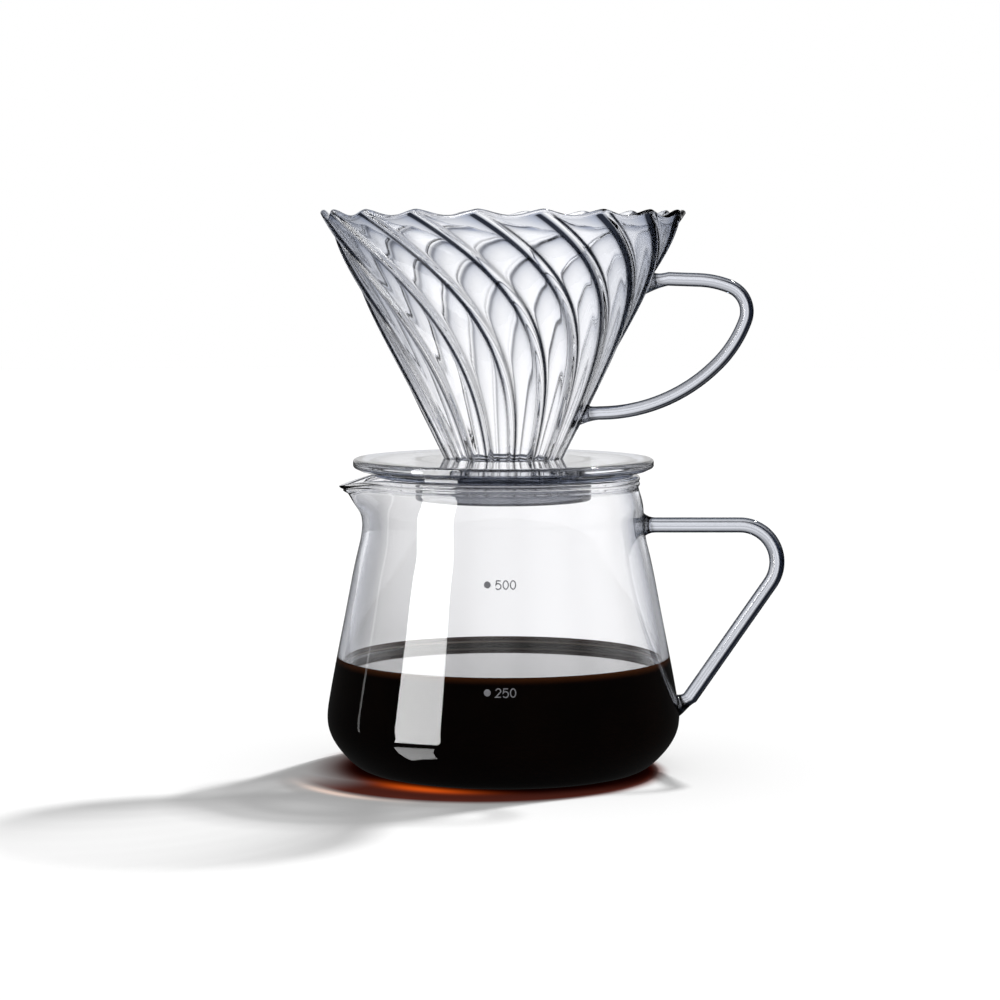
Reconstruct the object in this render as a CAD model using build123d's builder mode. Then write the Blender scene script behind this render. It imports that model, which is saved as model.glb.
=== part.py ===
"""Glass pour-over set: a dripper with spiral ribs that stands on a handled server of coffee."""
import os
from math import cos, radians, sin

from build123d import *

os.makedirs("parts", exist_ok=True)

# --- Driving dimensions: millimetres and degrees, Z up, the server stands on Z = 0 ------------
# server
SERVER_FOOT_R = 43.0            # edge of the flat that it stands on
SERVER_CORNER = (52.0, 4.7)     # on the round corner under the belly: radius, height
SERVER_SIDE = [                 # outer wall from the belly up: radius, height
    (56.9, 14.0), (56.0, 23.0), (53.2, 38.0), (50.1, 53.8),
    (47.0, 69.0), (45.2, 78.0), (44.7, 85.6), (43.3, 90.8),
]
SERVER_WALL = 2.3
SERVER_FLOOR = 2.6
SERVER_RIM_Z = 94.3
RIM_OUTER_R = 43.8
RIM_INNER_R = 40.7
RIM_RING = 1.65                 # height of each of the two rings of the rolled rim
COFFEE_Z = 35.9
COFFEE_GAP = 0.02               # keeps the drink's solid off the glass

# spout, on the -X side
SPOUT_REACH = 53.2              # tip of the beak, from the axis
SPOUT_TIP_R = 3.4
SPOUT_SPREAD = 37.0             # how far round the rim the beak starts, to each side
SPOUT_ROOT_Z = 81.0             # where the beak grows out of the wall
SPOUT_ROOT_R = 39.8             # reach of the beak's section there, inside the wall
SPOUT_DIP = 3.2                 # how far the tip is below the rim

# dripper
CONE_RIM_Z = 179.2              # crests of the wavy rim
RIM_WAVE = 2.0                  # from trough to crest
BAND_Z = 174.7                  # plain glass above this height, ribs below it
CONE_TAPER = 0.5                # radius gained per millimetre of height
CONE_APEX_Z = 61.5              # where the cone through the rib crests would close
CONE_WALL = 2.2
OUTLET_Z = 87.3
RIBS = 18
RIB_TWIST = 57.0                # how far each rib turns between the rim and the plate
RIB_EASE = 2.1                  # how fast that turn dies away on the way down
RIB_DEPTH = 1.5                 # of the flutes between the ribs, near the rim
RIB_START = 0.04                # share of the height over which the flutes reach that depth
RIB_STEPS = 9
RIB_PROFILE = (0, 0.72, 1, 0.72)  # share of the depth at a crest, flank, trough and flank
PLATE_TOP_Z = 99.8
PLATE_BOTTOM_Z = 96.0
PLATE_R = 48.2
PLATE_UNDER_R = 45.4            # where the rounded underside starts
PLATE_EDGE = 2.2                # height of the upright part of the plate's edge
TIER_R = 41.7                   # step under the plate that stands on the server's rim
COLLAR_R = 28.2
COLLAR_WALL = 1.8
COLLAR_BOTTOM_Z = 86.4
COLLAR_ROUND = 0.7

# handles: glass rods bent in the XZ plane, as a run, tangent bends (radius, turn) and a last run
WELD_FLARE = 2.4                # how much wider than its rod the foot of a weld is
SERVER_ROD = {
    "rod_r": 2.45, "start": (49.3, 78.3), "heading": 0.0, "run": 26.7,
    "bends": [(12.0, -124.6)], "last_run": 45.2, "feet": [(43.8, 78.2), (54.2, 20.2)], "foot_tilt": 0.0,
}
DRIPPER_ROD = {
    "rod_r": 2.2, "start": (52.6, 157.2), "heading": -2.0, "run": 9.7,
    "bends": [(30.0, -20.0), (8.5, -88.0), (38.0, -24.0), (53.0, -46.0)], "last_run": 0.0,
    "feet": [(46.2, 155.4), (24.6, 113.6)], "foot_tilt": 26.6,
}

# printed graduations: a dot and three digits each, by the height of their centres
INK = 0.08
MARKS = {"500": 64.2, "250": 31.7}
DOT_R = 1.05
DOT_X = -5.0
DIGITS_X = -1.6                 # centre of the first digit
DIGIT_STEP = 2.25
DIGIT_WIDTH = 1.6
DIGIT_HEIGHT = 2.5
DIGIT_STROKE = 0.36


def write(part, name):
    """Label a finished piece and write its STEP file."""
    part.label = name
    export_step(part, f"parts/{name}.step")


def turned(*outline):
    """Solid of revolution about Z, from the corners (radius, height) of its half section."""
    with BuildPart() as solid:
        with BuildSketch(Plane.XZ):
            with BuildLine():
                Polyline(*outline, close=True)
            make_face()
        revolve(axis=Axis.Z)
    return solid.part


# --- Server body ------------------------------------------------------------------------------
def server_form(inset, floor_z):
    """The server's outer form, set in by a wall thickness and level at the rim."""
    foot = (SERVER_FOOT_R - inset, floor_z)
    corner = (SERVER_CORNER[0] - inset, SERVER_CORNER[1] + floor_z)
    side = [(r - inset, z) for r, z in SERVER_SIDE]
    with BuildPart() as solid:
        with BuildSketch(Plane.XZ):
            with BuildLine():
                Line((0, floor_z), foot)
                Spline(foot, corner, side[0], tangents=[(1, 0), (0, 1)])
                Spline(*side)
                Polyline(side[-1], (side[-1][0], SERVER_RIM_Z), (0, SERVER_RIM_Z), (0, floor_z))
            make_face()
        revolve(axis=Axis.Z)
    return solid.part


def spout_form(inset):
    """The beak: the rim drawn out to a rounded tip, shrinking into the wall on the way down."""
    shoulder = RIM_OUTER_R - inset - 1
    tip_r = SPOUT_TIP_R - inset
    with BuildPart() as solid:
        for z, reach in ((SPOUT_ROOT_Z, SPOUT_ROOT_R), (SERVER_RIM_Z, SPOUT_REACH)):
            with BuildSketch(Plane.XY.offset(z)):
                with Locations((tip_r + inset - reach, 0)):
                    Circle(tip_r)
                with PolarLocations(shoulder, 2, 180 - SPOUT_SPREAD, 2 * SPOUT_SPREAD):
                    Circle(1)
                make_hull()
        loft()
    return solid.part


def rim_ring(z):
    """One of the two rings of the rolled rim, centred at a height."""
    with BuildPart() as ring:
        with BuildSketch(Plane.XZ):
            with Locations(((RIM_OUTER_R + RIM_INNER_R) / 2, z)):
                SlotOverall(RIM_OUTER_R - RIM_INNER_R, RIM_RING)
        revolve(axis=Axis.Z)
    return ring.part


server_outer = server_form(0, 0)
dip_slope = SPOUT_DIP / (SPOUT_REACH - RIM_OUTER_R)
with BuildPart() as server_body:
    add(server_outer)
    add(spout_form(0))
    add(server_form(SERVER_WALL, SERVER_FLOOR), mode=Mode.SUBTRACT)
    for ring in range(2):
        add(rim_ring(SERVER_RIM_Z - (ring + 0.5) * RIM_RING))
    add(spout_form(SERVER_WALL), mode=Mode.SUBTRACT)
    # the beak's edge dips from the rim to the tip
    with BuildSketch(Plane.XZ):
        with BuildLine():
            Polyline(
                (-RIM_OUTER_R, SERVER_RIM_Z),
                (-2 * RIM_OUTER_R, SERVER_RIM_Z - dip_slope * RIM_OUTER_R),
                (-2 * RIM_OUTER_R, 2 * SERVER_RIM_Z),
                (-RIM_OUTER_R, 2 * SERVER_RIM_Z),
                close=True,
            )
        make_face()
    extrude(amount=RIM_OUTER_R, both=True, mode=Mode.SUBTRACT)
write(server_body.part, "server_body")

# --- Coffee -----------------------------------------------------------------------------------
with BuildPart() as coffee:
    add(server_form(SERVER_WALL + COFFEE_GAP, SERVER_FLOOR + COFFEE_GAP))
    split(bisect_by=Plane.XY.offset(COFFEE_Z), keep=Keep.BOTTOM)
write(coffee.part, "coffee")


# --- Printed graduations ----------------------------------------------------------------------
def digit(figure, centre_x, centre_z):
    """Draw one figure on the sketch."""
    w, h = DIGIT_WIDTH, DIGIT_HEIGHT
    if figure == "0":
        with Locations((centre_x, centre_z)):
            Ellipse((w + DIGIT_STROKE) / 2, (h + DIGIT_STROKE) / 2)
            Ellipse((w - DIGIT_STROKE) / 2, (h - DIGIT_STROKE) / 2, mode=Mode.SUBTRACT)
        return
    with BuildLine(Location((centre_x - w / 2, centre_z - h / 2))) as strokes:
        if figure == "5":
            Polyline((0.95 * w, h), (0.15 * w, h), (0.05 * w, 0.55 * h))
            ThreePointArc((0.05 * w, 0.55 * h), (w, 0.32 * h), (0, 0.12 * h))
        else:
            ThreePointArc((0.03 * w, 0.76 * h), (0.55 * w, h), (0.93 * w, 0.62 * h))
            Polyline((0.93 * w, 0.62 * h), (0, 0), (w, 0))
    trace(strokes.line, DIGIT_STROKE)


ink_form = server_form(-INK, 0)
for figures, mark_z in MARKS.items():
    with BuildPart() as mark:
        with BuildSketch(Plane.XZ):
            with Locations((DOT_X, mark_z)):
                Circle(DOT_R)
            for place, figure in enumerate(figures):
                digit(figure, DIGITS_X + place * DIGIT_STEP, mark_z)
        extrude(amount=SERVER_SIDE[0][0] + 1)
        add(ink_form, mode=Mode.INTERSECT)
        add(server_outer, mode=Mode.SUBTRACT)
    write(mark.part, f"mark_{figures}")


# --- Cone -------------------------------------------------------------------------------------
def cone_r(z):
    """Radius of the cone through the rib crests."""
    return CONE_TAPER * (z - CONE_APEX_Z)


def cone_section(z, inset):
    """A section of the cone: round in the rim's band and below the plate, ribbed between them."""
    share = min(1, max(0, (BAND_Z - z) / (BAND_Z - PLATE_TOP_Z)))
    twist = RIB_TWIST * (1 - (1 - share) ** RIB_EASE)
    depth = RIB_DEPTH * min(1, share / RIB_START) * (1 - share)
    points = []
    for step in range(len(RIB_PROFILE) * RIBS):
        angle = radians(twist - 90 - 180 / RIBS + step * 360 / RIBS / len(RIB_PROFILE))
        radius = cone_r(z) - inset - depth * RIB_PROFILE[step % len(RIB_PROFILE)]
        points.append((radius * cos(angle), radius * sin(angle)))
    with BuildSketch(Plane.XY.offset(z)) as section:
        with BuildLine():
            Spline(*points, periodic=True)
        make_face()
    return section.sketch


def cone_form(inset, overrun):
    """The twisted, ribbed form, set in by a wall thickness and run on past both of its ends."""
    heights = [CONE_RIM_Z + overrun, BAND_Z, BAND_Z - RIB_START * (BAND_Z - PLATE_TOP_Z)]
    for step in range(1, RIB_STEPS + 1):
        share = 1 - (1 - step / RIB_STEPS) ** (1 / RIB_EASE)
        heights.append(BAND_Z - share * (BAND_Z - PLATE_TOP_Z))
    with BuildPart() as solid:
        loft([cone_section(z, inset) for z in heights + [OUTLET_Z - overrun]])
    return solid.part


cone_outer = cone_form(0, 0)
half_chord = cone_r(CONE_RIM_Z) * sin(radians(180 / RIBS))
scallop_r = (half_chord ** 2 + RIM_WAVE ** 2) / (2 * RIM_WAVE)
with BuildPart() as dripper_cone:
    add(cone_outer)
    add(cone_form(CONE_WALL, 1), mode=Mode.SUBTRACT)
    # one round scallop out of the rim between each two crests
    for scallop in range(RIBS):
        upright = Plane.XZ.rotated((0, 0, scallop * 360 / RIBS))
        with BuildSketch(upright.offset(cone_r(CONE_RIM_Z) - 3 * CONE_WALL)):
            with Locations((0, CONE_RIM_Z - RIM_WAVE + scallop_r)):
                Circle(scallop_r)
        extrude(amount=5 * CONE_WALL, mode=Mode.SUBTRACT)
write(dripper_cone.part, "dripper_cone")

# --- Plate and collar -------------------------------------------------------------------------
with BuildPart() as base_plate:
    with BuildSketch(Plane.XZ):
        with BuildLine():
            edge = Line((PLATE_R, PLATE_TOP_Z), (PLATE_R, PLATE_TOP_Z - PLATE_EDGE))
            TangentArc(edge @ 1, (PLATE_UNDER_R, PLATE_BOTTOM_Z), tangent=(0, -1))
            Polyline(
                (PLATE_UNDER_R, PLATE_BOTTOM_Z),
                (TIER_R, PLATE_BOTTOM_Z),
                (TIER_R, SERVER_RIM_Z),
                (COLLAR_R, SERVER_RIM_Z),
                (COLLAR_R, PLATE_BOTTOM_Z),
                (0, PLATE_BOTTOM_Z),
                (0, PLATE_TOP_Z),
                edge @ 0,
            )
        make_face()
    revolve(axis=Axis.Z)
    add(cone_outer, mode=Mode.SUBTRACT)
write(base_plate.part, "base_plate")

with BuildPart() as locating_collar:
    with BuildSketch(Plane.XY.offset(COLLAR_BOTTOM_Z)):
        Circle(COLLAR_R)
        Circle(COLLAR_R - COLLAR_WALL, mode=Mode.SUBTRACT)
    extrude(amount=PLATE_BOTTOM_Z - COLLAR_BOTTOM_Z)
    fillet(locating_collar.edges().group_by(Axis.Z)[0], COLLAR_ROUND)
write(locating_collar.part, "locating_collar")


# --- Handles ----------------------------------------------------------------------------------
def weld(end, direction, rod_r, foot, foot_tilt, wall):
    """Flared weld from the end of a rod to the wall, whose own surface cuts it off."""
    into_wall = (-cos(radians(foot_tilt)), 0, sin(radians(foot_tilt)))
    with BuildPart() as flare:
        with BuildSketch(Plane(origin=end, x_dir=(0, 1, 0), z_dir=direction)):
            Circle(rod_r)
        with BuildSketch(Plane(origin=(foot[0], 0, foot[1]), x_dir=(0, 1, 0), z_dir=into_wall)):
            Circle(rod_r + WELD_FLARE)
        loft()
        add(wall, mode=Mode.SUBTRACT)
    return flare.part


def make_handle(owner, wall, rod_r, start, heading, run, bends, last_run, feet, foot_tilt):
    """A bent rod and the two welds that join it to a wall."""
    with BuildPart() as rod:
        with BuildLine(Plane.XZ) as path:
            piece = PolarLine(start, run, heading)
            for radius, turn in bends:
                piece = JernArc(piece @ 1, piece % 1, radius, turn)
            if last_run:
                PolarLine(piece @ 1, last_run, direction=piece % 1)
        top, bottom = path.line @ 0, path.line @ 1
        top_way, bottom_way = path.line % 0, path.line % 1
        with BuildSketch(Plane(origin=top, z_dir=top_way)):
            Circle(rod_r)
        sweep(path=path.line)
    write(rod.part, f"{owner}_handle")
    write(weld(top, -top_way, rod_r, feet[0], foot_tilt, wall), f"{owner}_weld_upper")
    write(weld(bottom, bottom_way, rod_r, feet[1], foot_tilt, wall), f"{owner}_weld_lower")


make_handle("server", server_outer, **SERVER_ROD)
make_handle("dripper", cone_outer, **DRIPPER_ROD)
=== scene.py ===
"""Looks of the pour-over set: a glass dripper with spiral ribs on a handled glass server of coffee."""
from math import cos, pi, radians, sin, sqrt

import bmesh
import bpy
import numpy as np
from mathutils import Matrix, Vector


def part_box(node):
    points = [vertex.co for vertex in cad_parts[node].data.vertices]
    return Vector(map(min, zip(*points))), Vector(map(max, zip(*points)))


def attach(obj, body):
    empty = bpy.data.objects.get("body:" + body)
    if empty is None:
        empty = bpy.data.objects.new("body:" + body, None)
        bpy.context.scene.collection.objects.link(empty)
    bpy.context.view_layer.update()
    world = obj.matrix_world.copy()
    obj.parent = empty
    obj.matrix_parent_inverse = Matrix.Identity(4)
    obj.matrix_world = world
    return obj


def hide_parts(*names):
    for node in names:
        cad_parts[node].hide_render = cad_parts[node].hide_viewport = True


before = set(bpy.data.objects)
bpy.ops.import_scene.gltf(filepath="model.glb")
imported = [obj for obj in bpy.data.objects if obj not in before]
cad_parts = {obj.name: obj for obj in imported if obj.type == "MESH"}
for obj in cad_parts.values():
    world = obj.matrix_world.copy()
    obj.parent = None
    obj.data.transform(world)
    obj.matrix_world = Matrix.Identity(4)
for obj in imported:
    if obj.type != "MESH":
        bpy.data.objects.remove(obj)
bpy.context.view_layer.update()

# --- Driving sizes: millimetres and degrees, as in the CAD frame -------------------------------
MM = 0.001


def cad(node, corner, axis):
    """One coordinate of a CAD node's box, in millimetres; corner 0 is the lowest and 1 the highest."""
    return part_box(node)[corner]["xyz".index(axis)] / MM


# server
RIM_Z = cad("server_body", 1, "z")
FOOT_R = 43.0
SERVER_SIDE = [                 # outer wall from the foot's edge up: radius, height
    (FOOT_R, 0.0), (51.2, 4.7), (56.5, 14.0), (56.0, 23.0), (53.2, 38.0),
    (50.1, 53.8), (47.0, 69.0), (45.2, 78.0), (44.7, 85.6), (43.3, 90.8),
]
WALL = 2.3
FLOOR = 2.6
RIM_OUTER_R = 43.8
RING = 1.65                     # height of each ring of the rolled rim
INNER_BEAD = 0.3                # how far the rings stand in from the inner wall
COFFEE_Z = cad("coffee", 1, "z")
MENISCUS = 3.0                  # how far the coffee climbs the wall
SPOUT_ROOT_Z = 82.3
SPOUT_HALF = 38.0               # half angle of the spout, seen from above
SPOUT_TIP = 3.4                 # rounding of its tip, in degrees
SPOUT_DIP = 3.2

# dripper
CONE_RIM_Z = cad("dripper_cone", 1, "z")
OUTLET_Z = cad("dripper_cone", 0, "z")
CONE_TAPER = 0.5
CONE_APEX_Z = 61.5
CONE_WALL = 2.2
HOLLOW_TOP = 1.5                # how far above the lip the ribs and hollows begin
RIBS_TOP_Z = CONE_RIM_Z + HOLLOW_TOP
RIBS = 18
RIB_TWIST = 57.0
RIB_EASE = 2.1
ARCH = 7.0                      # height of the round tops of the hollows
RIB_HEIGHT = 1.5                # of the narrow rib itself, at the rim
RIB_HALF = 2.5                  # half its width there
HOLLOW_DEPTH = 0.03             # depth of the hollows between ribs, as a share of a rib's pitch
RIM_WAVE = 1.9
PLATE_TOP_Z = cad("base_plate", 1, "z")
PLATE_R = cad("base_plate", 1, "x")
TIER_Z = cad("base_plate", 0, "z")
TIER_R = 41.7
PLATE_Z = 96.0                  # underside of the plate
COLLAR_R = cad("locating_collar", 1, "x")
COLLAR_Z = cad("locating_collar", 0, "z")
COLLAR_WALL = 1.8

# handles: a rod's start, heading, run, tangent bends (radius, turn), last run, and its two feet
SERVER_ROD = {
    "rod_r": 2.45, "start": (49.3, 78.3), "heading": 0.0, "run": 26.7,
    "bends": [(11.99, -124.6)], "last_run": 45.2,
    "feet": [(44.3, 78.3, 0.0), (55.5, 20.2, 0.0)],
}
DRIPPER_ROD = {
    "rod_r": 2.2, "start": (52.6, 157.2), "heading": -2.0, "run": 9.7,
    "bends": [(30.0, -20.0), (8.5, -88.0), (38.0, -24.0), (53.0, -46.0)], "last_run": 0.0,
    "feet": [(45.6, 155.6, 26.6), (24.3, 113.7, 26.6)],
}
FLARE = 2.3

# floor
FLOOR_R = 3.0                           # in metres
BELLY_SHADOW = (-7.6, -9.0, 58.7)       # the belly's shadow: its centre and radius


# --- Mesh helpers ------------------------------------------------------------------------------
def smooth_line(points, start_way, end_way, count):
    """Evenly spread points on a C2 cubic spline through points, with its end directions given."""
    p = np.array(points, float)
    chord = np.concatenate([[0], np.cumsum(np.linalg.norm(np.diff(p, axis=0), axis=1))])
    h = np.diff(chord)
    n = len(p)
    rows, right = np.zeros((n, n)), np.zeros((n, 2))
    rows[0, 0] = rows[-1, -1] = 1
    right[0] = np.array(start_way) / np.linalg.norm(start_way)
    right[-1] = np.array(end_way) / np.linalg.norm(end_way)
    for i in range(1, n - 1):
        rows[i, i - 1: i + 2] = 1 / h[i - 1], 2 / h[i - 1] + 2 / h[i], 1 / h[i]
        right[i] = 3 * ((p[i] - p[i - 1]) / h[i - 1] ** 2 + (p[i + 1] - p[i]) / h[i] ** 2)
    slopes = np.linalg.solve(rows, right)
    fine = np.linspace(0, chord[-1], count)
    k = np.clip(np.searchsorted(chord, fine, side="right") - 1, 0, n - 2)
    t = ((fine - chord[k]) / h[k])[:, None]
    step = h[k][:, None]
    return (
        p[k] * (1 + 2 * t) * (1 - t) ** 2 + slopes[k] * step * t * (1 - t) ** 2
        + p[k + 1] * t * t * (3 - 2 * t) + slopes[k + 1] * step * t * t * (t - 1)
    )


def filleted(corners, steps=7):
    """A half section (radius, height) from corners (radius, height, fillet), with round corners."""
    line = []
    n = len(corners)
    for i, (r, z, fillet) in enumerate(corners):
        here = np.array((r, z))
        if fillet == 0:
            line.append(here)
            continue
        before = np.array(corners[i - 1][:2]) - here
        after = np.array(corners[(i + 1) % n][:2]) - here
        a, b = before / np.linalg.norm(before), after / np.linalg.norm(after)
        half = np.arccos(np.clip(a @ b, -1, 1)) / 2
        reach = fillet / np.tan(half)
        centre = here + (a + b) / np.linalg.norm(a + b) * fillet / np.sin(half)
        first, last = here + a * reach - centre, here + b * reach - centre
        turn = np.arctan2(first[0] * last[1] - first[1] * last[0], first @ last)
        for t in np.linspace(0, turn, steps):
            spin = np.array([[np.cos(t), -np.sin(t)], [np.sin(t), np.cos(t)]])
            line.append(centre + spin @ first)
    return np.array(line)


def skin(name, rings, ends, body, replaced, material):
    """A smooth piece through rings of points; ends is "joined" for a ring of rings, or "capped"."""
    rings = np.asarray(rings, float)
    rows, around = rings.shape[:2]
    index = np.arange(rows * around).reshape(rows, around)
    low = index if ends == "joined" else index[:-1]
    high = np.roll(index, -1, axis=0) if ends == "joined" else index[1:]
    quads = np.stack([low, np.roll(low, -1, axis=1), np.roll(high, -1, axis=1), high], axis=-1)
    faces = quads.reshape(-1, 4).tolist()
    points = (rings.reshape(-1, 3) * MM).tolist()
    if ends == "capped":
        for ring in (0, rows - 1):
            points.append((rings[ring].mean(axis=0) * MM).tolist())
            cap = len(points) - 1
            faces += [[index[ring, i], index[ring, (i + 1) % around], cap] for i in range(around)]
    mesh = bpy.data.meshes.new(name)
    mesh.from_pydata(points, [], faces)
    form = bmesh.new()
    form.from_mesh(mesh)
    bmesh.ops.recalc_face_normals(form, faces=form.faces)
    form.to_mesh(mesh)
    form.free()
    mesh.polygons.foreach_set("use_smooth", [True] * len(mesh.polygons))
    mesh.materials.append(material)
    piece = bpy.data.objects.new(name, mesh)
    bpy.context.scene.collection.objects.link(piece)
    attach(piece, body)
    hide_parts(*replaced)
    return piece


def painted(piece, name, values):
    """Give a piece's points a number each, which its material reads by name."""
    attribute = piece.data.attributes.new(name, "FLOAT", "POINT")
    attribute.data.foreach_set("value", values)


def turned(line, around):
    """Rings of points from a half section turned about Z."""
    angle = np.linspace(0, 2 * pi, around, endpoint=False)
    r, z = line[:, :1], np.repeat(line[:, 1:], around, axis=1)
    return np.stack([r * np.cos(angle), r * np.sin(angle), z], axis=-1)


# --- Materials ---------------------------------------------------------------------------------
PAINTED_SHADE_COLOUR = (0.25, 0.29, 0.4)               # colour of the shade painted on glass where its paint attribute is set
PAINTED_FLANK_SHADE = (0.002, 0.0025, 0.004)     # colour of the dark line painted as shade on a rib's flank seen edge on
FLAG_AZIMUTH = 36.5                     # turns the dark flags that only glass sees, in degrees


def new_material(name):
    """An empty node material, as (material, nodes, link function)."""
    material = bpy.data.materials.new(name)
    material.use_nodes = True
    material.node_tree.nodes.clear()
    return material, material.node_tree.nodes, material.node_tree.links.new


def ramp(nodes, stops):
    """A smooth colour ramp through (position, colour) stops."""
    node = nodes.new("ShaderNodeValToRGB")
    node.color_ramp.interpolation = "EASE"
    while len(node.color_ramp.elements) < len(stops):
        node.color_ramp.elements.new(0.5)
    for element, (position, colour) in zip(node.color_ramp.elements, stops):
        element.position = position
        element.color = (*colour, 1)
    return node


def maths(nodes, link, operation, *values):
    """A math node's output; each value is a number or another node's output."""
    node = nodes.new("ShaderNodeMath")
    node.operation = operation
    for socket, value in zip(node.inputs, values):
        if isinstance(value, (int, float)):
            socket.default_value = value
        else:
            link(value, socket)
    return node.outputs[0]


def stepped(nodes, link, value, low, high, smooth=True):
    """A step of value from 0 at low to 1 at high."""
    node = nodes.new("ShaderNodeMapRange")
    if smooth:
        node.interpolation_type = "SMOOTHSTEP"
    link(value, node.inputs["Value"])
    node.inputs["From Min"].default_value = low
    node.inputs["From Max"].default_value = high
    return node.outputs["Result"]


def tinted(nodes, link, colour, amount, shade):
    """A colour multiplied by a shade, as far as an amount from 0 to 1."""
    layer = nodes.new("ShaderNodeMix")
    layer.data_type = "RGBA"
    layer.blend_type = "MULTIPLY"
    link(amount, layer.inputs["Factor"])
    link(colour, layer.inputs["A"])
    layer.inputs["B"].default_value = (*shade, 1)
    return layer.outputs["Result"]


def dark_flags(nodes, link, azimuth):
    """1 at the middle of each of eight dark flags round the set and 0 between them."""
    turned_by = maths(nodes, link, "ADD", azimuth, radians(FLAG_AZIMUTH))
    wave = maths(nodes, link, "COSINE", maths(nodes, link, "MULTIPLY", turned_by, 8.0))
    return maths(nodes, link, "POWER", maths(nodes, link, "MULTIPLY_ADD", wave, -0.5, 0.5), 2.0)


def make_glass(name, facing, grazing, shade, darkens=(0.25, 0.75), fade=None, painted_shade=PAINTED_SHADE_COLOUR, mirror=1.0):
    """Smoked glass that darkens where it is seen edge on, partly from the longer path through the glass
    and partly as painted shade, and lets lamp light through.

    facing and grazing are its tints seen face on and edge on, and shade is how much lamp light
    each of the two lets through.
    darkens is how far edge on its tint starts and ends to turn from facing to grazing.
    The second to last argument is the colour of the shade painted where the piece's paint attribute is
    set; a dark line of painted shade also goes on ribs' flanks seen edge on.
    fade is the heights, in millimetres, between which its tint grows from almost none to full.
    mirror is how much of plain glass's mirror light it keeps where it is seen face on.
    """
    material, nodes, link = new_material(name)
    weight = nodes.new("ShaderNodeLayerWeight")
    weight.inputs["Blend"].default_value = 0.5
    tint = ramp(nodes, [(darkens[0], facing), (darkens[1], grazing)])
    link(weight.outputs["Facing"], tint.inputs["Fac"])
    body = nodes.new("ShaderNodeBsdfPrincipled")
    body.inputs["IOR"].default_value = 1.5
    body.inputs["Transmission Weight"].default_value = 1
    body.inputs["Roughness"].default_value = 0
    body.inputs["Specular Tint"].default_value = (mirror, mirror, mirror, 1)
    colour = tint.outputs["Color"]
    if fade:
        place = nodes.new("ShaderNodeTexCoord")
        level = nodes.new("ShaderNodeSeparateXYZ")
        link(place.outputs["Object"], level.inputs["Vector"])
        share = stepped(nodes, link, level.outputs["Z"], fade[0] * MM, fade[1] * MM, smooth=False)
        blend = nodes.new("ShaderNodeMix")
        blend.data_type = "RGBA"
        blend.inputs["A"].default_value = (0.97, 0.97, 0.98, 1)
        link(share, blend.inputs["Factor"])
        link(colour, blend.inputs["B"])
        colour = blend.outputs["Result"]
    # painted shade: a dark line on ribs' flanks where they are seen edge on
    flank = nodes.new("ShaderNodeAttribute")
    flank.attribute_name = "flank"
    edge_on = stepped(nodes, link, weight.outputs["Facing"], 0.03, 0.35, smooth=False)
    line = maths(nodes, link, "MULTIPLY", flank.outputs["Fac"], edge_on)
    line = maths(nodes, link, "MINIMUM", maths(nodes, link, "MULTIPLY", line, 1.9), 1.0)
    colour = tinted(nodes, link, colour, line, PAINTED_FLANK_SHADE)
    # painted shade, laid where the piece's paint attribute is set
    shade_paint = nodes.new("ShaderNodeAttribute")
    shade_paint.attribute_name = "shade_paint"
    colour = tinted(nodes, link, colour, shade_paint.outputs["Fac"], painted_shade)
    link(colour, body.inputs["Base Color"])
    clear = nodes.new("ShaderNodeBsdfTransparent")
    shadow = ramp(nodes, [(0.0, (shade[0],) * 3), (1.0, (shade[1],) * 3)])
    link(weight.outputs["Facing"], shadow.inputs["Fac"])
    link(shadow.outputs["Color"], clear.inputs["Color"])
    path = nodes.new("ShaderNodeLightPath")
    passing = maths(nodes, link, "MAXIMUM", path.outputs["Is Shadow Ray"], path.outputs["Is Diffuse Ray"])
    mix = nodes.new("ShaderNodeMixShader")
    link(passing, mix.inputs["Fac"])
    link(body.outputs["BSDF"], mix.inputs[1])
    link(clear.outputs["BSDF"], mix.inputs[2])
    out = nodes.new("ShaderNodeOutputMaterial")
    link(mix.outputs["Shader"], out.inputs["Surface"])
    return material


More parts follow.
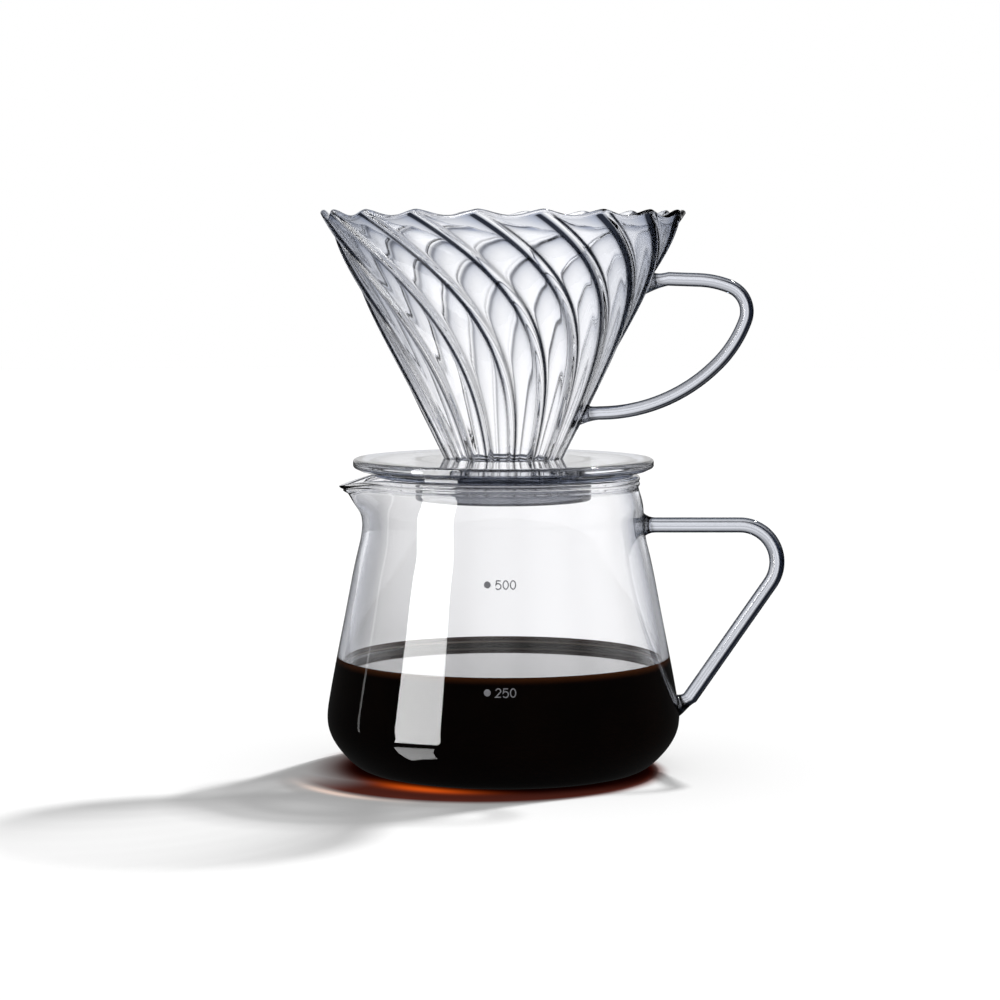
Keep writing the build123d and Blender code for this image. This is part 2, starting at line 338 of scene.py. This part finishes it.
def make_coffee():
    """Near-black brewed coffee with a faint brown mottle."""
    material, nodes, link = new_material("coffee")
    place = nodes.new("ShaderNodeTexCoord")
    mottle = nodes.new("ShaderNodeTexNoise")
    mottle.inputs["Scale"].default_value = 60
    link(place.outputs["Object"], mottle.inputs["Vector"])
    brown = ramp(nodes, [(0.3, (0.0015, 0.0006, 0.0003)), (0.7, (0.003, 0.0012, 0.0006))])
    link(mottle.outputs["Fac"], brown.inputs["Fac"])
    level = nodes.new("ShaderNodeSeparateXYZ")
    link(place.outputs["Object"], level.inputs["Vector"])
    up = maths(nodes, link, "MULTIPLY", level.outputs["Z"], 1 / (COFFEE_Z * MM))
    # the film that climbs the wall is thin enough to show brown
    film = ramp(nodes, [(0.93, (0, 0, 0)), (1.0, (0.06, 0.018, 0.005))])
    link(up, film.inputs["Fac"])
    colour = nodes.new("ShaderNodeMix")
    colour.data_type = "RGBA"
    colour.blend_type = "ADD"
    colour.inputs["Factor"].default_value = 1
    link(brown.outputs["Color"], colour.inputs["A"])
    link(film.outputs["Color"], colour.inputs["B"])
    # lamp light is stopped by the belly and passes, warmer, through the shallow part above it
    warm = ramp(nodes, [(0.3, (0.08, 0.02, 0.01)), (0.42, (0.62, 0.56, 0.53))])
    link(up, warm.inputs["Fac"])
    clear = nodes.new("ShaderNodeBsdfTransparent")
    link(warm.outputs["Color"], clear.inputs["Color"])
    path = nodes.new("ShaderNodeLightPath")
    mix = nodes.new("ShaderNodeMixShader")
    body = nodes.new("ShaderNodeBsdfPrincipled")
    body.inputs["Roughness"].default_value = 0.02
    body.inputs["IOR"].default_value = 1.33
    shape = nodes.new("ShaderNodeNewGeometry")
    upright = nodes.new("ShaderNodeSeparateXYZ")
    link(shape.outputs["Normal"], upright.inputs["Vector"])
    surface = maths(nodes, link, "GREATER_THAN", upright.outputs["Z"], 0.3)
    link(maths(nodes, link, "MULTIPLY", surface, 0.5), body.inputs["Specular IOR Level"])
    # a painted highlight: the pale line laid where the points' shine is set
    shine = nodes.new("ShaderNodeAttribute")
    shine.attribute_name = "shine"
    pale = nodes.new("ShaderNodeMix")
    pale.data_type = "RGBA"
    link(shine.outputs["Fac"], pale.inputs["Factor"])
    link(colour.outputs["Result"], pale.inputs["A"])
    pale.inputs["B"].default_value = (0.3, 0.26, 0.22, 1)
    link(pale.outputs["Result"], body.inputs["Base Color"])
    link(path.outputs["Is Shadow Ray"], mix.inputs["Fac"])
    link(body.outputs["BSDF"], mix.inputs[1])
    link(clear.outputs["BSDF"], mix.inputs[2])
    out = nodes.new("ShaderNodeOutputMaterial")
    link(mix.outputs["Shader"], out.inputs["Surface"])
    return material


def make_enamel():
    """Grey printed enamel with a slightly uneven ink film."""
    material, nodes, link = new_material("printed_enamel")
    place = nodes.new("ShaderNodeTexCoord")
    grain = nodes.new("ShaderNodeTexNoise")
    grain.inputs["Scale"].default_value = 900
    link(place.outputs["Object"], grain.inputs["Vector"])
    ink = ramp(nodes, [(0.3, (0.17, 0.17, 0.185)), (0.7, (0.22, 0.22, 0.235))])
    link(grain.outputs["Fac"], ink.inputs["Fac"])
    body = nodes.new("ShaderNodeBsdfPrincipled")
    body.inputs["Roughness"].default_value = 0.45
    link(ink.outputs["Color"], body.inputs["Base Color"])
    out = nodes.new("ShaderNodeOutputMaterial")
    link(body.outputs["BSDF"], out.inputs["Surface"])
    return material


cone_glass = make_glass(
    "cone_glass", (0.91, 0.917, 0.94), (0.3, 0.33, 0.4), (0.93, 0.3),
    darkens=(0.12, 0.72), fade=(95, 185), mirror=0.4,
)
server_glass = make_glass(
    "server_glass", (0.93, 0.93, 0.94), (0.44, 0.465, 0.53), (0.8, 0.4), darkens=(0.38, 0.85),
)
plate_glass = make_glass("plate_glass", (0.76, 0.77, 0.8), (0.6, 0.61, 0.65), (0.9, 0.6))
collar_glass = make_glass("collar_glass", (0.2, 0.21, 0.24), (0.03, 0.033, 0.045), (0.85, 0.3))
rod_glass = make_glass(
    "rod_glass", (0.66, 0.68, 0.74), (0.015, 0.02, 0.03), (0.85, 0.3),
    darkens=(0.05, 0.45), painted_shade=(0.001, 0.0016, 0.004),
)
coffee_liquid = make_coffee()
enamel = make_enamel()


# --- Server ------------------------------------------------------------------------------------
def spout(rings):
    """Draw the rim out into the beak on the -X side."""
    x, y, z = rings[..., 0], rings[..., 1], rings[..., 2]
    away = np.abs(np.arctan2(y, -x))
    height = (z - SPOUT_ROOT_Z) / (RIM_Z - SPOUT_ROOT_Z)
    grown = np.clip((height + np.sqrt(height ** 2 + 0.03)) / (1 + sqrt(1.03)), 0, 1)
    near = np.clip(radians(SPOUT_HALF) - np.sqrt(away ** 2 + radians(SPOUT_TIP) ** 2), 0, None)
    stretch = 1 / np.cos(near) - 1
    longest = 1 / cos(radians(SPOUT_HALF - SPOUT_TIP)) - 1
    factor = 1 + grown * stretch
    dip = SPOUT_DIP * grown * stretch / longest
    return np.stack([x * factor, y * factor, np.maximum(z - dip, 0)], axis=-1)


def spout_angles(around):
    """Angles about Z that crowd together at the beak."""
    u = np.linspace(-pi, pi, around, endpoint=False)
    return pi + u - 0.6 * np.sin(u)


def server_wall(inset, count):
    """The side of the server from the foot's edge to the rolled rim, set in by a wall thickness."""
    side = [(r - inset, z) for r, z in SERVER_SIDE]
    side[0] = (FOOT_R - inset, FLOOR if inset else 0)
    side[1] = (SERVER_SIDE[1][0] - inset, SERVER_SIDE[1][1] + (FLOOR if inset else 0))
    return smooth_line(side, (1, 0), (-0.22, 1), count)


def rolled(side, steps):
    """One face of the rolled rim: two beads, seen from the side that +1 or -1 names."""
    wall = SERVER_SIDE[-1][0] if side > 0 else SERVER_SIDE[-1][0] - WALL
    face = RIM_OUTER_R if side > 0 else wall - INNER_BEAD
    z = np.linspace(RIM_Z - 2 * RING, RIM_Z, steps)
    off = (z - (RIM_Z - 2 * RING)) % RING - RING / 2
    bead = np.sqrt(np.clip((RING / 2) ** 2 - off ** 2, 0, None)) - RING / 2
    if side > 0:
        r = np.maximum(wall, face + bead)
    else:
        r = np.minimum(wall, face - bead)
    return np.stack([r, z], axis=-1)


def make_server():
    flat = np.stack([np.linspace(0.5, FOOT_R - 1, 12), np.zeros(12)], axis=-1)
    outer = server_wall(0, 84)
    inner = server_wall(WALL, 70)[::-1]
    inner_flat = np.stack([np.linspace(FOOT_R - WALL - 1, 0.5, 10), np.full(10, FLOOR)], axis=-1)
    top = np.array([(RIM_OUTER_R - 1.2, RIM_Z), (RIM_OUTER_R - 2.0, RIM_Z)])
    outer_rings, inner_rings = rolled(1, 17)[1:-1], rolled(-1, 17)[::-1][1:-1]
    line = np.concatenate([flat, outer, outer_rings, top, inner_rings, inner, inner_flat])
    angle = spout_angles(384)
    r, z = line[:, :1], np.repeat(line[:, 1:], len(angle), axis=1)
    rings = spout(np.stack([r * np.cos(angle), r * np.sin(angle), z], axis=-1))
    skin("server_jug", rings, "capped", "server", ["server_body"], server_glass)


def make_coffee_body():
    inner = server_wall(WALL - 0.2, 120)
    side = inner[inner[:, 1] < COFFEE_Z]
    edge = side[-1]
    reach = np.linspace(0, 1, 36) ** 1.5 * 7
    rise = MENISCUS * np.exp(-reach / 1.1)
    top = np.stack([edge[0] - reach, COFFEE_Z - MENISCUS + rise], axis=-1)
    flat = np.stack([np.linspace(top[-1][0] - 2, 0.5, 10), np.full(10, top[-1][1])], axis=-1)
    base = np.stack([np.linspace(0.5, FOOT_R - WALL - 1, 8), np.full(8, FLOOR - 0.1)], axis=-1)
    line = np.concatenate([base, side, top, flat])
    around = 192
    rings = turned(line, around)
    drink = skin("coffee_drink", rings, "capped", "server", ["coffee"], coffee_liquid)
    # a painted highlight: a pale line where the climbing film turns towards the level surface
    climb = (line[:, 1] - COFFEE_Z + MENISCUS) / MENISCUS
    inward = np.arange(len(line)) >= len(base) + len(side)
    shine = np.exp(-((climb - 0.42) / 0.09) ** 2) * inward
    painted(drink, "shine", np.append(np.repeat(shine, around), [0, 0]))


# --- Dripper -----------------------------------------------------------------------------------
def cone_points(u, angle0, z_line, inset, follow):
    """Rings of the cone's wall. u is the place across a rib's pitch, with ribs at whole numbers."""
    rings = []
    for z in z_line:
        share = np.clip((RIBS_TOP_Z - z) / (RIBS_TOP_Z - PLATE_TOP_Z), 0, 1)
        twist = RIB_TWIST * (1 - (1 - share) ** RIB_EASE)
        radius = CONE_TAPER * (z - CONE_APEX_Z)
        pitch = 2 * pi * radius / RIBS
        rib_half = RIB_HALF * (0.45 + 0.55 * (1 - share))
        from_rib = np.abs(u - np.round(u)) * pitch / rib_half
        from_top = max(0.0, RIBS_TOP_Z - z)
        # the nearer of the rib and the plain glass above, blended where they meet
        near = np.maximum(from_rib, 1e-6) ** -2.5 + max(from_top / RIB_HALF, 1e-6) ** -2.5
        near = near ** (-1 / 2.5)
        narrow = 1 - np.exp(-near ** 2.2)
        broad = np.sin(pi * u) ** 2 * min(1.0, from_top / ARCH)
        depth = RIB_HEIGHT * (1 - 0.5 * share) * narrow + HOLLOW_DEPTH * pitch * broad
        depth = depth * np.clip((z - 90) / 9, 0, 1)
        r = radius - inset - follow * depth
        angle = angle0 + radians(twist) + u * 2 * pi / RIBS
        rings.append(np.stack([r * np.cos(angle), r * np.sin(angle), np.full_like(u, z)], axis=-1))
    return np.array(rings)


def cone_paint(u, z_line):
    """Where painted shade goes: a dark line on the outer wall's rib flanks, and a darker band just before
    each rib and near the rim between the ribs.
    """
    flanks, shade_amounts = [], []
    for z in z_line:
        share = np.clip((RIBS_TOP_Z - z) / (RIBS_TOP_Z - PLATE_TOP_Z), 0, 1)
        pitch = 2 * pi * CONE_TAPER * (z - CONE_APEX_Z) / RIBS
        rib_half = RIB_HALF * (0.45 + 0.55 * (1 - share))
        from_rib = np.abs(u - np.round(u)) * pitch / rib_half
        flank = np.exp(-((from_rib - 0.95) / 0.5) ** 2)
        place = u - np.floor(u)
        before_rib_shade = np.clip((place - 0.45) / 0.45, 0, 1) ** 1.6 * np.clip((1 - place) / 0.07, 0, 1)
        from_top = max(0.0, RIBS_TOP_Z - z)
        top = np.exp(-((from_top - 2.5) / 3.5) ** 2) * np.clip(from_rib - 0.9, 0, 1)
        begun = min(1.0, from_top / 1.5)
        flanks.append(flank * begun * (1 - 0.35 * share))
        shade_amounts.append(np.clip(before_rib_shade + 0.45 * top, 0, 1) * begun * (1 - 0.85 * share))
    return np.array(flanks), np.array(shade_amounts)


def make_cone():
    per_rib = 24
    even = np.arange(per_rib * RIBS) / per_rib
    # the points crowd together at the ribs
    u = even - 0.5 * np.sin(2 * pi * even) / (2 * pi)
    start = radians(-90 - 180 / RIBS)
    rows = 88
    share = np.linspace(0, 1, rows)
    z_line = OUTLET_Z + (CONE_RIM_Z - OUTLET_Z) * (1 - (1 - share) ** 1.25)
    outer = cone_points(u, start, z_line, 0, 1)
    inner = cone_points(u, start, z_line, CONE_WALL, 0.5)
    # the lip: a full round between the two walls, which follows the wave
    lip = []
    for t in np.linspace(0, pi, 9)[1:-1]:
        mid = (outer[-1] + inner[-1]) / 2
        across = (outer[-1] - inner[-1]) / 2
        up = np.zeros_like(mid)
        up[..., 2] = CONE_WALL / 2 * sin(t)
        lip.append(mid + across * cos(t) + up)
    foot = []
    for t in np.linspace(0, pi, 7)[1:-1]:
        mid = (outer[0] + inner[0]) / 2
        across = (inner[0] - outer[0]) / 2
        down = np.zeros_like(mid)
        down[..., 2] = -CONE_WALL / 3 * sin(t)
        foot.append(mid + across * cos(t) + down)
    rings = np.concatenate([outer, lip, inner[::-1], foot])
    # the wave: everything near the rim sinks between the ribs
    z = rings[..., 2]
    wave = (0.5 - 0.5 * np.cos(2 * pi * u)) ** 0.75
    weight = np.clip((z - (CONE_RIM_Z - 14)) / 14, 0, 1) ** 1.5
    crown = CONE_WALL / 2 * np.clip((z - (CONE_RIM_Z - 30)) / 30, 0, 1)
    z_new = z - weight * wave * RIM_WAVE - crown
    z_new = np.where(z < OUTLET_Z + 3, z + CONE_WALL / 3 * np.clip((OUTLET_Z + 3 - z) / 3, 0, 1), z_new)
    # keep each point on the cone as it moves up or down
    radius = np.hypot(rings[..., 0], rings[..., 1])
    factor = 1 + CONE_TAPER * (z_new - z) / radius
    rings = np.stack([rings[..., 0] * factor, rings[..., 1] * factor, z_new], axis=-1)
    cone = skin(
        "dripper_fluted_cone", rings, "joined", "dripper", ["dripper_cone"], cone_glass,
    )
    for name, values in zip(("flank", "shade_paint"), cone_paint(u, z_line)):
        field = np.zeros(rings.shape[:2])
        field[:rows] = values
        painted(cone, name, field.ravel())


def make_plate():
    top_r = CONE_TAPER * (PLATE_TOP_Z - CONE_APEX_Z) - 1.0
    low_r = CONE_TAPER * (PLATE_Z - CONE_APEX_Z) - 1.0
    corners = [
        (top_r, PLATE_TOP_Z, 0), (PLATE_R, PLATE_TOP_Z, 1.1), (PLATE_R, 97.2, 0.9), (45.6, PLATE_Z, 1.2),
        (TIER_R, PLATE_Z, 0.25), (TIER_R, TIER_Z, 0.5), (COLLAR_R, TIER_Z, 0.4), (COLLAR_R, PLATE_Z, 0.1),
        (low_r, PLATE_Z, 0),
    ]
    line = filleted(corners)
    dense = []
    for a, b in zip(line, np.roll(line, -1, axis=0)):
        steps = max(1, int(np.linalg.norm(b - a) / 1.5))
        dense += [a + (b - a) * k / steps for k in range(steps)]
    line = np.array(dense)
    around = 288
    rings = turned(line, around)
    plate = skin("dripper_plate", rings, "joined", "dripper", ["base_plate"], plate_glass)
    # painted shade on the underside of the rim and the side of the tier
    shaded_rim = (line[:, 0] > TIER_R - 0.6) & (line[:, 1] < 97.6)
    painted(plate, "shade_paint", np.repeat(shaded_rim.astype(float), around))


def make_collar():
    inner = COLLAR_R - COLLAR_WALL
    corners = [
        (inner, PLATE_Z + 0.3, 0), (COLLAR_R, PLATE_Z + 0.3, 0),
        (COLLAR_R, COLLAR_Z, 0.85), (inner, COLLAR_Z, 0.85),
    ]
    line = filleted(corners)
    rings = turned(line, 256)
    skin("dripper_collar", rings, "joined", "dripper", ["locating_collar"], collar_glass)


# --- Handles -----------------------------------------------------------------------------------
def rod_path(start, heading, run, bends, last_run):
    """Points and headings along a rod, about a millimetre apart."""
    place, way = np.array(start, float), radians(heading)
    points, ways = [place], [way]

    def straight(length):
        nonlocal place
        steps = max(1, round(length / 1.2))
        for _ in range(steps):
            place = place + length / steps * np.array((cos(way), sin(way)))
            points.append(place)
            ways.append(way)

    straight(run)
    for radius, turn in bends:
        steps = max(2, round(radius * abs(radians(turn)) / 0.8))
        small = radians(turn) / steps
        chord = 2 * radius * sin(abs(small) / 2)
        for _ in range(steps):
            place = place + chord * np.array((cos(way + small / 2), sin(way + small / 2)))
            way += small
            points.append(place)
            ways.append(way)
    if last_run:
        straight(last_run)
    return points, ways


def make_handle(owner, rod_r, start, heading, run, bends, last_run, feet):
    """A bent glass rod, flared at both ends where it is welded to a wall."""
    points, ways = rod_path(start, heading, run, bends, last_run)
    sides = 72
    turn = np.linspace(0, 2 * pi, sides, endpoint=False)

    def ring(place, way, radius):
        out = radius * np.sin(turn)
        x = place[0] - out * sin(way)
        z = place[1] + out * cos(way)
        return np.stack([x, radius * np.cos(turn), z], axis=-1)

    def weld(foot, end, way):
        """Rings from the wall to a rod's end."""
        base = np.array(foot[:2])
        rings = []
        for t in np.linspace(0, 1, 12, endpoint=False):
            lean = -radians(foot[2]) * (1 - t) ** 2 + way * (1 - (1 - t) ** 2)
            place = base + (end - base) * t
            rings.append(ring(place, lean, rod_r + FLARE * (1 - t) ** 2.6))
        return rings

    first = weld(feet[0], points[0], ways[0])
    last = weld(feet[1], points[-1], (ways[-1] + 2 * pi) % (2 * pi) - pi)
    # the last weld looks back along the rod, so its rings are turned over to meet the rod's
    turned_over = [ring_points[-np.arange(sides) % sides] for ring_points in last]
    rings = first + [ring(place, way, rod_r) for place, way in zip(points, ways)] + turned_over[::-1]
    nodes = [f"{owner}_handle", f"{owner}_weld_upper", f"{owner}_weld_lower"]
    rod = skin(f"{owner}_rod", rings, "capped", owner, nodes, rod_glass)
    # painted shade: dark lines along the rod, and a dark outer side where it runs up or down, full on the
    # -Y side and half on the +Y side
    outward = np.sin(turn)
    front = np.where(np.cos(turn) < 0, 1.0, 0.5)
    shade_lines = 0.6 * np.exp(-((outward + 0.1) / 0.07) ** 2) + 0.6 * np.exp(-((outward + 0.45) / 0.1) ** 2)
    shade_lines += np.exp(-((outward - 0.5) / 0.12) ** 2) + 0.7 * np.exp(-((outward + 0.93) / 0.08) ** 2)
    side = np.clip((outward - 0.12) / 0.12, 0, 1) * np.clip((1 - outward) / 0.1, 0, 1)
    steep = np.abs(np.sin(ways))
    steep = np.concatenate([np.full(len(first), steep[0]), steep, np.full(len(last), steep[-1])])
    painted_shade = np.clip((shade_lines + side * steep[:, None]) * front, 0, 1)
    painted(rod, "shade_paint", np.append(painted_shade.ravel(), [0, 0]))


make_server()
make_coffee_body()
make_cone()
make_plate()
make_collar()
make_handle("server", **SERVER_ROD)
make_handle("dripper", **DRIPPER_ROD)
for mark in ("mark_500", "mark_250"):
    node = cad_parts[mark]
    node.data.materials.clear()
    node.data.materials.append(enamel)


# --- Floor -------------------------------------------------------------------------------------
def make_floor():
    material, nodes, link = new_material("pale_floor")

    def m(operation, *values):
        return maths(nodes, link, operation, *values)

    def step(value, low, high):
        return stepped(nodes, link, value, low, high)

    def bell(value, centre, width):
        off = m("MULTIPLY", m("SUBTRACT", value, centre), 1 / width)
        return m("EXPONENT", m("MULTIPLY", m("MULTIPLY", off, off), -1.0))

    def polar(centre):
        """Distance in millimetres and direction in degrees from a point of the floor."""
        across = m("SUBTRACT", m("MULTIPLY", split.outputs["X"], 1 / MM), centre[0])
        along = m("SUBTRACT", m("MULTIPLY", split.outputs["Y"], 1 / MM), centre[1])
        far = m("SQRT", m("ADD", m("MULTIPLY", across, across), m("MULTIPLY", along, along)))
        # directions count from +X through -Y, so the front of the set is at 90
        return far, m("MULTIPLY", m("ARCTAN2", m("MULTIPLY", along, -1.0), across), 180 / pi)

    place = nodes.new("ShaderNodeTexCoord")
    split = nodes.new("ShaderNodeSeparateXYZ")
    link(place.outputs["Object"], split.inputs["Vector"])
    from_foot, toward = polar((0, 0))
    from_shadow, shadow_toward = polar(BELLY_SHADOW[:2])
    paint = nodes.new("ShaderNodeRGB")
    paint.outputs[0].default_value = (0.9, 0.9, 0.9, 1)
    # a painted shadow: the belly's shadow is painted brown into the floor's colour, darkest where the
    # coffee is nearest
    in_shadow = m("SUBTRACT", 1.0, step(from_shadow, BELLY_SHADOW[2] - 4, BELLY_SHADOW[2] + 3))
    near_foot = m("SUBTRACT", 1.0, step(from_foot, FOOT_R + 4, FOOT_R + 23))
    in_front = m("SUBTRACT", 1.0, step(m("ABSOLUTE", toward), 135, 172))
    brown = m("MULTIPLY", in_shadow, m("MAXIMUM", near_foot, in_front))
    colour = tinted(nodes, link, paint.outputs[0], brown, (0.2, 0.045, 0.03))
    darkest = m("MULTIPLY", in_shadow, m("SUBTRACT", 1.0, step(from_foot, FOOT_R + 3, FOOT_R + 13)))
    colour = tinted(nodes, link, colour, darkest, (0.25, 0.06, 0.03))
    body = nodes.new("ShaderNodeBsdfDiffuse")
    link(colour, body.inputs["Color"])
    # painted light: the floor glows orange under the belly and in a pale line at the shadow's edge,
    # standing for light that the coffee bends
    glow = nodes.new("ShaderNodeEmission")
    glow.inputs["Color"].default_value = (0.6, 0.075, 0.004, 1)
    under_belly = m("MULTIPLY", bell(from_foot, FOOT_R + 7.5, 4.0), bell(toward, 120, 18))
    link(under_belly, glow.inputs["Strength"])
    line = nodes.new("ShaderNodeEmission")
    line.inputs["Color"].default_value = (0.42, 0.25, 0.17, 1)
    at_edge = m("MULTIPLY", bell(from_shadow, BELLY_SHADOW[2] + 2.2, 2.2), bell(shadow_toward, 137, 17))
    link(at_edge, line.inputs["Strength"])
    lit = nodes.new("ShaderNodeAddShader")
    link(body.outputs["BSDF"], lit.inputs[0])
    link(glow.outputs["Emission"], lit.inputs[1])
    ground = nodes.new("ShaderNodeAddShader")
    link(lit.outputs["Shader"], ground.inputs[0])
    link(line.outputs["Emission"], ground.inputs[1])
    dark = nodes.new("ShaderNodeEmission")
    dark.inputs["Color"].default_value = (0.02, 0.02, 0.02, 1)
    path = nodes.new("ShaderNodeLightPath")
    mirrored = m("GREATER_THAN", path.outputs["Glossy Depth"], 0.5)
    through = m("GREATER_THAN", path.outputs["Transmission Depth"], 0.5)
    # mirrors see the floor dark, and those behind glass see it less so
    mirrored = m("MULTIPLY", mirrored, m("MULTIPLY_ADD", through, -0.7, 1.0))
    # what glass sees of the floor further off has the same dark flags as the world
    flag = dark_flags(nodes, link, m("ARCTAN2", split.outputs["X"], split.outputs["Y"]))
    distance = m("MULTIPLY", from_foot, MM)
    far = stepped(nodes, link, distance, 0.12, 0.35, smooth=False)
    flagged = m("MULTIPLY", m("MULTIPLY", m("MULTIPLY", flag, 0.5), through), far)
    mix = nodes.new("ShaderNodeMixShader")
    link(m("MAXIMUM", mirrored, flagged), mix.inputs["Fac"])
    # makes up for what each sheet of glass in front of it mirrors away
    lift = nodes.new("ShaderNodeEmission")
    link(m("MULTIPLY", through, 0.14), lift.inputs["Strength"])
    lifted = nodes.new("ShaderNodeAddShader")
    link(ground.outputs["Shader"], lifted.inputs[0])
    link(lift.outputs["Emission"], lifted.inputs[1])
    link(lifted.outputs["Shader"], mix.inputs[1])
    link(dark.outputs["Emission"], mix.inputs[2])
    out = nodes.new("ShaderNodeOutputMaterial")
    link(mix.outputs["Shader"], out.inputs["Surface"])
    mesh = bpy.data.meshes.new("floor")
    corners = 64
    angle = np.linspace(0, 2 * pi, corners, endpoint=False)
    ring = np.stack([FLOOR_R * np.cos(angle), FLOOR_R * np.sin(angle), np.zeros(corners)], axis=-1)
    mesh.from_pydata(ring.tolist(), [], [list(range(corners))])
    mesh.materials.append(material)
    floor = bpy.data.objects.new("floor", mesh)
    bpy.context.scene.collection.objects.link(floor)
    floor.visible_glossy = False


# --- World: a white studio, with dark flags that only glass sees --------------------------------
def make_world():
    world = bpy.data.worlds.new("studio")
    bpy.context.scene.world = world
    world.use_nodes = True
    nodes, link = world.node_tree.nodes, world.node_tree.links.new
    nodes.clear()

    def m(operation, *values):
        return maths(nodes, link, operation, *values)

    def step(value, low, high):
        return stepped(nodes, link, value, low, high)

    def choose(switch, no, yes):
        """no where the switch is 0 and yes where it is 1."""
        node = nodes.new("ShaderNodeMix")
        for socket, value in zip((node.inputs[0], node.inputs[2], node.inputs[3]), (switch, no, yes)):
            if isinstance(value, (int, float)):
                socket.default_value = value
            else:
                link(value, socket)
        return node.outputs[0]

    way = nodes.new("ShaderNodeTexCoord")
    split = nodes.new("ShaderNodeSeparateXYZ")
    link(way.outputs["Generated"], split.inputs["Vector"])
    x, y, z = split.outputs
    azimuth = m("ARCTAN2", x, y)             # 0 looks along +Y, positive towards +X
    height = m("ARCSINE", z)

    # what is seen straight through glass: white, with dark flags between the eight main directions
    flag = dark_flags(nodes, link, azimuth)
    high = step(height, radians(12), radians(45))
    through = m("MULTIPLY", m("MULTIPLY_ADD", flag, -0.5, 1.15), m("MULTIPLY_ADD", high, -0.8, 1.0))

    # what is mirrored inside glass: bright low down, dark above
    low_band = m("SUBTRACT", 1.0, step(height, radians(32), radians(52)))
    inside = m("MULTIPLY", m("MULTIPLY_ADD", low_band, 1.5, 0.03), m("MULTIPLY_ADD", flag, -0.5, 1.0))

    # what outer faces mirror: a dark room with strip lights at the left of each main view
    def strip(centre, half, edge, lowest, highest):
        """1 inside a window of azimuth and elevation, with soft edges."""
        # below the horizon it leans, so that it stays upright on the belly
        lean = m("MULTIPLY", m("MINIMUM", m("ADD", height, radians(12)), 0.0), -0.45)
        turn = m("SUBTRACT", azimuth, m("ADD", lean, radians(centre)))
        near = m("ARCCOSINE", m("COSINE", turn))
        side = m("SUBTRACT", 1.0, step(near, radians(half - edge), radians(half + edge)))
        level = m("MULTIPLY", step(height, radians(lowest - 1), radians(lowest + 1)),
                  m("SUBTRACT", 1.0, step(height, radians(highest - 2), radians(highest + 2))))
        return m("MULTIPLY", side, level)

    lights = m("MULTIPLY", strip(180 + 57.5, 16.5, 0.5, -18, 60), 13.5)
    lights = m("ADD", lights, m("MULTIPLY", strip(180 + 57.5, 16.5, 0.5, -52, -28), 5.0))
    lights = m("ADD", lights, m("MULTIPLY", strip(180 + 108, 1.0, 0.3, -10, 60), 1.2))
    # and a pale backdrop low down behind the set
    horizon = m("MULTIPLY", step(y, 0.8, 0.95), m("MULTIPLY", low_band, step(height, -0.02, 0.02)))
    horizon = m("MULTIPLY", horizon, 0.8)
    outside = m("ADD", lights, m("ADD", horizon, 0.02))

    path = nodes.new("ShaderNodeLightPath")
    mirrored = m("GREATER_THAN", path.outputs["Glossy Depth"], 0.5)
    entered = m("GREATER_THAN", path.outputs["Transmission Depth"], 0.5)
    level = choose(mirrored, through, choose(entered, outside, inside))
    level = choose(path.outputs["Is Diffuse Ray"], level, 0.5)
    level = choose(path.outputs["Is Camera Ray"], level, 1.0)
    back = nodes.new("ShaderNodeBackground")
    back.inputs["Color"].default_value = (1, 1, 1, 1)
    link(level, back.inputs["Strength"])
    out = nodes.new("ShaderNodeOutputWorld")
    link(back.outputs["Background"], out.inputs["Surface"])


# --- Lamp and camera ---------------------------------------------------------------------------
def add_sun(name, azimuth, elevation, strength, size):
    """A lamp that shines from an azimuth and elevation; azimuth 0 is +Y, positive towards +X."""
    data = bpy.data.lights.new(name, "SUN")
    data.energy = strength
    data.angle = radians(size)
    lamp = bpy.data.objects.new(name, data)
    lamp.rotation_euler = (radians(90 - elevation), 0, radians(180 - azimuth))
    bpy.context.scene.collection.objects.link(lamp)


def make_camera():
    data = bpy.data.cameras.new("camera")
    data.lens = 115.7
    data.sensor_width = 36
    camera = bpy.data.objects.new("camera", data)
    camera.location = (-0.0011, -1.0285, 0.1727)
    camera.rotation_euler = (radians(90 - 4.8), 0, 0)
    bpy.context.scene.collection.objects.link(camera)
    bpy.context.scene.camera = camera


make_floor()
make_world()
add_sun("key", 40, 50, 2.75, 3.5)
make_camera()

scene = bpy.context.scene
scene.view_settings.view_transform = "Standard"
scene.cycles.max_bounces = 24
scene.cycles.transmission_bounces = 24
scene.cycles.glossy_bounces = 8
scene.cycles.transparent_max_bounces = 24
